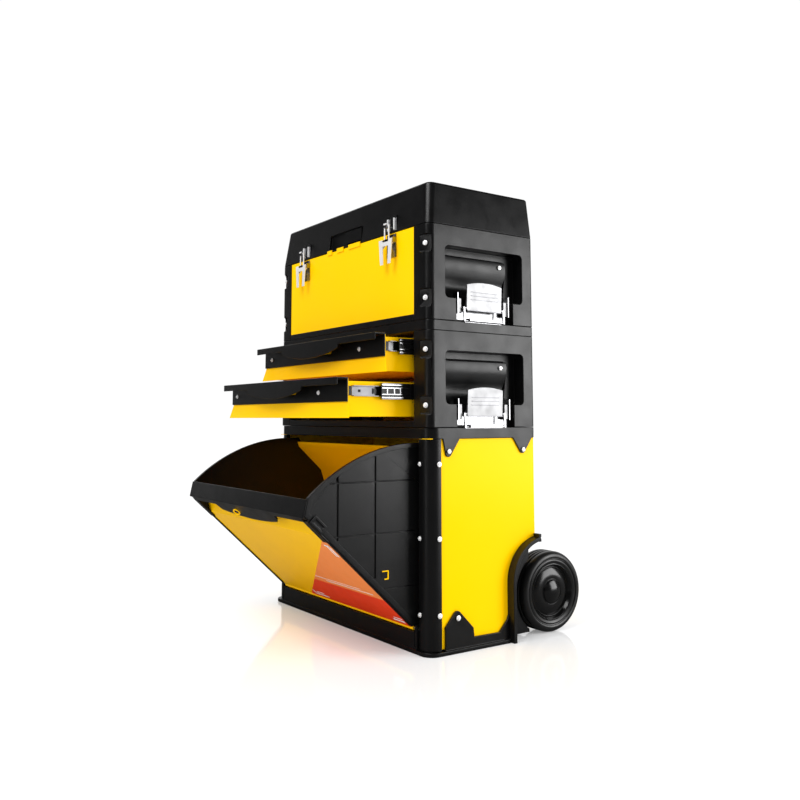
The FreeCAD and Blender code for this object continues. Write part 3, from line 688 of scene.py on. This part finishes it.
class TOOLBOX_OT_latch_details(bpy.types.Operator):
    """Puts pressed lines and a rolled foot on the side latches' levers, made in darker steel as painted
    shade, and wings beside them
    """
    bl_idname = "toolbox.latch_details"
    bl_label = "Latch details"

    def execute(self, context):
        edge = context.scene.tool_box_edges.wire
        for place, z in LATCH_HEIGHTS.items():
            # The pressed lines and the rolled foot are made in the darker slide steel: painted shade in the
            # lever's creases.
            bars = [block("bar", (248.2, 249.3), (-29, 27), (z + rise, z + rise + 1.3))
                    for rise in (13, 19, 25)]
            bars.append(block("roll", (248.3, 250), (-36.5, 34.5), (z - 4.4, z - 3)))
            detail = joined(f"{place}_latch_lines_right", bars)
            turned(detail, Vector((LEVER_FACE, 0, z)) * MM, LEVER_LEAN, "Y")
            round_edges(detail, edge)
            settle(detail, place + "_latch_lever_right", "slide_steel")
            other = mirrored_copy(detail, f"{place}_latch_lines_left")
            settle(other, place + "_latch_lever_left", "slide_steel")
            wings = [block("wing", (236, 244.5), y, (z - 9, z + 15)) for y in ((-52.3, -44.6), (43, 51.3))]
            wings = joined(f"{place}_latch_wings_right", wings)
            round_edges(wings, edge * 4)
            for piece in (wings, mirrored_copy(wings, f"{place}_latch_wings_left")):
                paint(piece, "pressed_steel")
                seat(piece, HOLDERS[place])
        return {"FINISHED"}


class TOOLBOX_OT_drawer_details(bpy.types.Operator):
    """Makes the drawers' tabs and the stops, cages and bright strips of their slides, with near-black patches
    on the slides as painted shade where their holes are
    """
    bl_idname = "toolbox.drawer_details"
    bl_label = "Drawer details"

    def execute(self, context):
        for name, (z, out) in DRAWERS.items():
            body = name + "_drawer"
            tab = block(name + "_drawer_tab", (-52, -24), (-124 - out, -117 - out), (z + 59.9, z + 60.5))
            settle(tab, body, "yellow_paint")
            slivers = [block("sliver", x, (-115 - out, -114.5 - out), (z + 44.5, z + 46.5))
                       for x in ((-44, -4), (4, 24))]
            settle(joined(name + "_drawer_slivers", slivers), body, "yellow_paint")
            for side, way in SIDES.items():
                centre = z + 40.5
                web = aside(way, 194.1, 196)
                stop = [block("stop", web, (-108 - out, -101 - out), (centre - 7, centre + 7)),
                        block("stop", web, (-62 - out, -56 - out), (centre - 4, centre + 4))]
                settle(joined(f"{name}_slide_stop_{side}", stop), body, "black_plastic")
                # Thin near-black patches on the slide's skin where its holes are: painted shade, no hole is
                # cut.
                skin = aside(way, 194.1, 194.5)
                hole_shades = [block("hole", skin, (y - 2 - out, y + 2 - out), (centre - 2, centre + 2))
                         for y in (-86, -40, 10, 55)]
                settle(joined(f"{name}_slide_hole_shades_{side}", hole_shades), body, "painted_shade_black")
                cage_x = aside(way, 200.2, 203.4)
                start = -109 - out / 2
                cage = [block("cage", cage_x, (start - 0.5, start + 52), (centre - 10.4, centre + 10.4)),
                        block("cage", aside(way, 203.2, 203.6), (start + 6, start + 40),
                              (centre - 3.4, centre + 3.4))]
                settle(joined(f"{name}_slide_cage_{side}", cage), name + "_slide_middle", "black_plastic")
                proud = aside(way, 203.3, 203.65)
                strips = [block("strip", proud, (start, start + 51), (centre + low, centre + low + 1.5))
                          for low in (-10.2, -5.6, 4.1, 8.7)]
                strips += [block("strip", proud, (start + y, start + y + 1.6), (centre - 4, centre + 4))
                           for y in (9, 22, 33)]
                settle(joined(f"{name}_slide_strips_{side}", strips), name + "_slide_middle", "bright_steel")
        return {"FINISHED"}


class TOOLBOX_OT_lid_details(bpy.types.Operator):
    """Makes the plate and catch ribs on the lid's front, the tabs under it and the cabinet's top line"""
    bl_idname = "toolbox.lid_details"
    bl_label = "Lid details"

    def execute(self, context):
        plate = block("lid_recess_plate", (-6, 47), (-107, -102.3), (660, 681))
        round_edges(plate, context.scene.tool_box_edges.wire)
        settle(plate, "lid", "black_plastic")
        ribs = []
        for x in (-145, 145):
            for low in (-10.4, 8):
                ribs.append(block("rib", (x + low, x + low + 2.4), (-112.6, -109.4), (657, 677)))
            ribs.append(block("curl", (x - 4, x + 4), (-124, -121.8), (664.5, 667.5)))
        catches = joined("lid_catch_ribs", ribs)
        round_edges(catches, 0.0006)
        paint(catches, "satin_steel")
        seat(catches, "lid")
        tabs = [block("tab", x, (-111, -108.9), (648, 656)) for x in ((-64, -48), (-30, -8), (10, 48))]
        settle(joined("box_front_tabs", tabs), "top_box", "yellow_paint")
        lines = []
        for way in SIDES.values():
            lines.append(block("line", aside(way, 219, 242), (-109.5, -100), (318.8, 319.7)))
        settle(joined("cabinet_top_line", lines), "cabinet", "yellow_paint")
        return {"FINISHED"}


class TOOLBOX_OT_wheels(bpy.types.Operator):
    """Rounds and finishes the tyres and hubs, and puts rings on them"""
    bl_idname = "toolbox.wheels"
    bl_label = "Wheels"

    def execute(self, context):
        for side, way in SIDES.items():
            settle(softened("tyre_" + side, 0.0006), "wheel_" + side, "tyre_rubber")
            settle(softened("wheel_hub_" + side, 0.0006), "wheel_" + side, "hub_gloss_black")
            for radius, thickness, at in WHEEL_RINGS:
                centre = Vector((way * at * MM, WHEEL_CENTRE.y, WHEEL_CENTRE.z))
                bpy.ops.object.select_all(action="DESELECT")
                bpy.ops.mesh.primitive_torus_add(major_radius=radius, minor_radius=thickness,
                                                 major_segments=96, location=centre,
                                                 rotation=(0, math.radians(90), 0))
                ring = bpy.context.object
                ring.name = f"wheel_ring_{radius * 10000:.0f}_{side}"
                only(ring)
                bpy.ops.object.shade_smooth()
                settle(ring, "wheel_" + side, "hub_gloss_black")
        return {"FINISHED"}


class TOOLBOX_OT_stage(bpy.types.Operator):
    """Sets out the floor, the lights and the camera"""
    bl_idname = "toolbox.stage"
    bl_label = "Stage"

    def execute(self, context):
        stage = context.scene.tool_box_stage
        lay_floor()
        light_world(stage)
        middle = Vector((0, 0, 0.38))
        area_light("side_light", stage.side_light, (1.2, 1.0), Vector((1.5, 1.3, 0.60)), middle)
        area_light("strip_light", stage.strip_light, (0.15, 1.9), Vector((0.30, -1.95, 0.75)), middle)
        area_light("top_light", stage.top_light, (1.3, 1.3), Vector((0.5, -1.6, 2.3)), middle)
        place_camera(stage)
        return {"FINISHED"}


def lay_floor():
    bpy.ops.object.select_all(action="DESELECT")
    bpy.ops.mesh.primitive_plane_add(size=30)
    floor = bpy.context.object
    floor.name = "floor"
    s = Shader("floor_white")
    s.constant(Base_Color=(0.80, 0.80, 0.80, 1), Roughness=0.10, Specular_IOR_Level=1.0,
               Emission_Color=(1, 1, 1, 1), Emission_Strength=0.22)
    dull = s.add("BsdfDiffuse")
    ray = s.add("LightPath")
    s.join(s.ramp(ray.outputs["Is Glossy Ray"], 0.85, 0.14, (0.0, 1.0)), dull.inputs["Color"])
    seen = s.add("MixShader")
    out = s.tree.nodes["Material Output"]
    s.join(ray.outputs["Is Camera Ray"], seen.inputs["Fac"])
    s.join(dull.outputs["BSDF"], seen.inputs[1])
    s.join(s.surface.outputs["BSDF"], seen.inputs[2])
    s.join(seen.outputs["Shader"], out.inputs["Surface"])
    floor.data.materials.append(s.material)


def light_world(stage):
    """White to the camera, mild as light, and in reflections dark but for a pale backdrop at the rear."""
    world = bpy.data.worlds.new("studio")
    bpy.context.scene.world = world
    world.use_nodes = True
    tree = world.node_tree
    back = tree.nodes["Background"]
    back.inputs["Color"].default_value = (1, 1, 1, 1)

    def math_node(operation, *values):
        node = tree.nodes.new("ShaderNodeMath")
        node.operation = operation
        for socket, value in zip(node.inputs, values):
            if isinstance(value, bpy.types.NodeSocket):
                tree.links.new(value, socket)
            else:
                socket.default_value = value
        return node.outputs[0]

    ray = tree.nodes.new("ShaderNodeLightPath")
    place = tree.nodes.new("ShaderNodeTexCoord")
    ahead = tree.nodes.new("ShaderNodeVectorMath")
    ahead.operation = "DOT_PRODUCT"
    ahead.inputs[1].default_value = (-math.sin(stage.heading), math.cos(stage.heading), 0)
    tree.links.new(place.outputs["Generated"], ahead.inputs[0])
    backdrop = tree.nodes.new("ShaderNodeMapRange")
    backdrop.interpolation_type = "SMOOTHSTEP"
    for name, value in (("From Min", 0.5), ("From Max", 0.8), ("To Min", 0.03), ("To Max", 1.0)):
        backdrop.inputs[name].default_value = value
    tree.links.new(ahead.outputs["Value"], backdrop.inputs["Value"])
    glossy = math_node("MULTIPLY", ray.outputs["Is Glossy Ray"], backdrop.outputs["Result"])
    diffuse = math_node("MULTIPLY_ADD", ray.outputs["Is Diffuse Ray"], 0.75, glossy)
    total = math_node("MULTIPLY_ADD", ray.outputs["Is Camera Ray"], 1.02, diffuse)
    tree.links.new(total, back.inputs["Strength"])


def area_light(name, power, size, place, target):
    data = bpy.data.lights.new(name, "AREA")
    data.energy = power
    data.shape = "RECTANGLE"
    data.size, data.size_y = size
    light = bpy.data.objects.new(name, data)
    bpy.context.scene.collection.objects.link(light)
    light.location = place
    light.rotation_euler = (place - target).to_track_quat("Z", "Y").to_euler()
    light.visible_camera = False


def place_camera(stage):
    data = bpy.data.cameras.new("camera")
    data.lens = stage.lens
    data.sensor_width = 36
    data.shift_y = stage.shift
    camera = bpy.data.objects.new("camera", data)
    bpy.context.scene.collection.objects.link(camera)
    camera.location = CAMERA_PLACE
    camera.rotation_euler = (math.radians(90) + stage.pitch, 0, stage.heading)
    bpy.context.scene.camera = camera


class TOOLBOX_PT_panel(bpy.types.Panel):
    """Lists the tool box's operators and settings"""
    bl_idname = "TOOLBOX_PT_panel"
    bl_label = "Rolling Tool Box"
    bl_space_type = "VIEW_3D"
    bl_region_type = "UI"
    bl_category = "Tool Box"

    def draw(self, context):
        for operator in OPERATORS:
            self.layout.operator(operator.bl_idname)
        for group in GROUPS:
            settings = getattr(context.scene, group)
            for name in settings.__annotations__:
                self.layout.prop(settings, name)


OPERATORS = [
    TOOLBOX_OT_mouldings, TOOLBOX_OT_panels, TOOLBOX_OT_bin_sides, TOOLBOX_OT_bin_fittings, TOOLBOX_OT_label,
    TOOLBOX_OT_metalwork, TOOLBOX_OT_screws, TOOLBOX_OT_latch_details, TOOLBOX_OT_drawer_details,
    TOOLBOX_OT_lid_details, TOOLBOX_OT_wheels, TOOLBOX_OT_stage,
]
GROUPS = {
    "tool_box_finishes": ToolBoxFinishes, "tool_box_edges": ToolBoxEdges, "tool_box_stage": ToolBoxStage,
}


def register():
    for cls in [*GROUPS.values(), *OPERATORS, TOOLBOX_PT_panel]:
        bpy.utils.register_class(cls)
    for name, cls in GROUPS.items():
        setattr(bpy.types.Scene, name, PointerProperty(type=cls))


def unregister():
    for name in GROUPS:
        delattr(bpy.types.Scene, name)
    for cls in [TOOLBOX_PT_panel, *reversed(OPERATORS), *reversed(list(GROUPS.values()))]:
        bpy.utils.unregister_class(cls)


def main():
    register()
    bpy.context.scene.view_settings.view_transform = "Standard"
    for operator in OPERATORS:
        call = getattr(bpy.ops.toolbox, operator.bl_idname.split(".")[1])
        call()


if __name__ == "__main__":
    main()
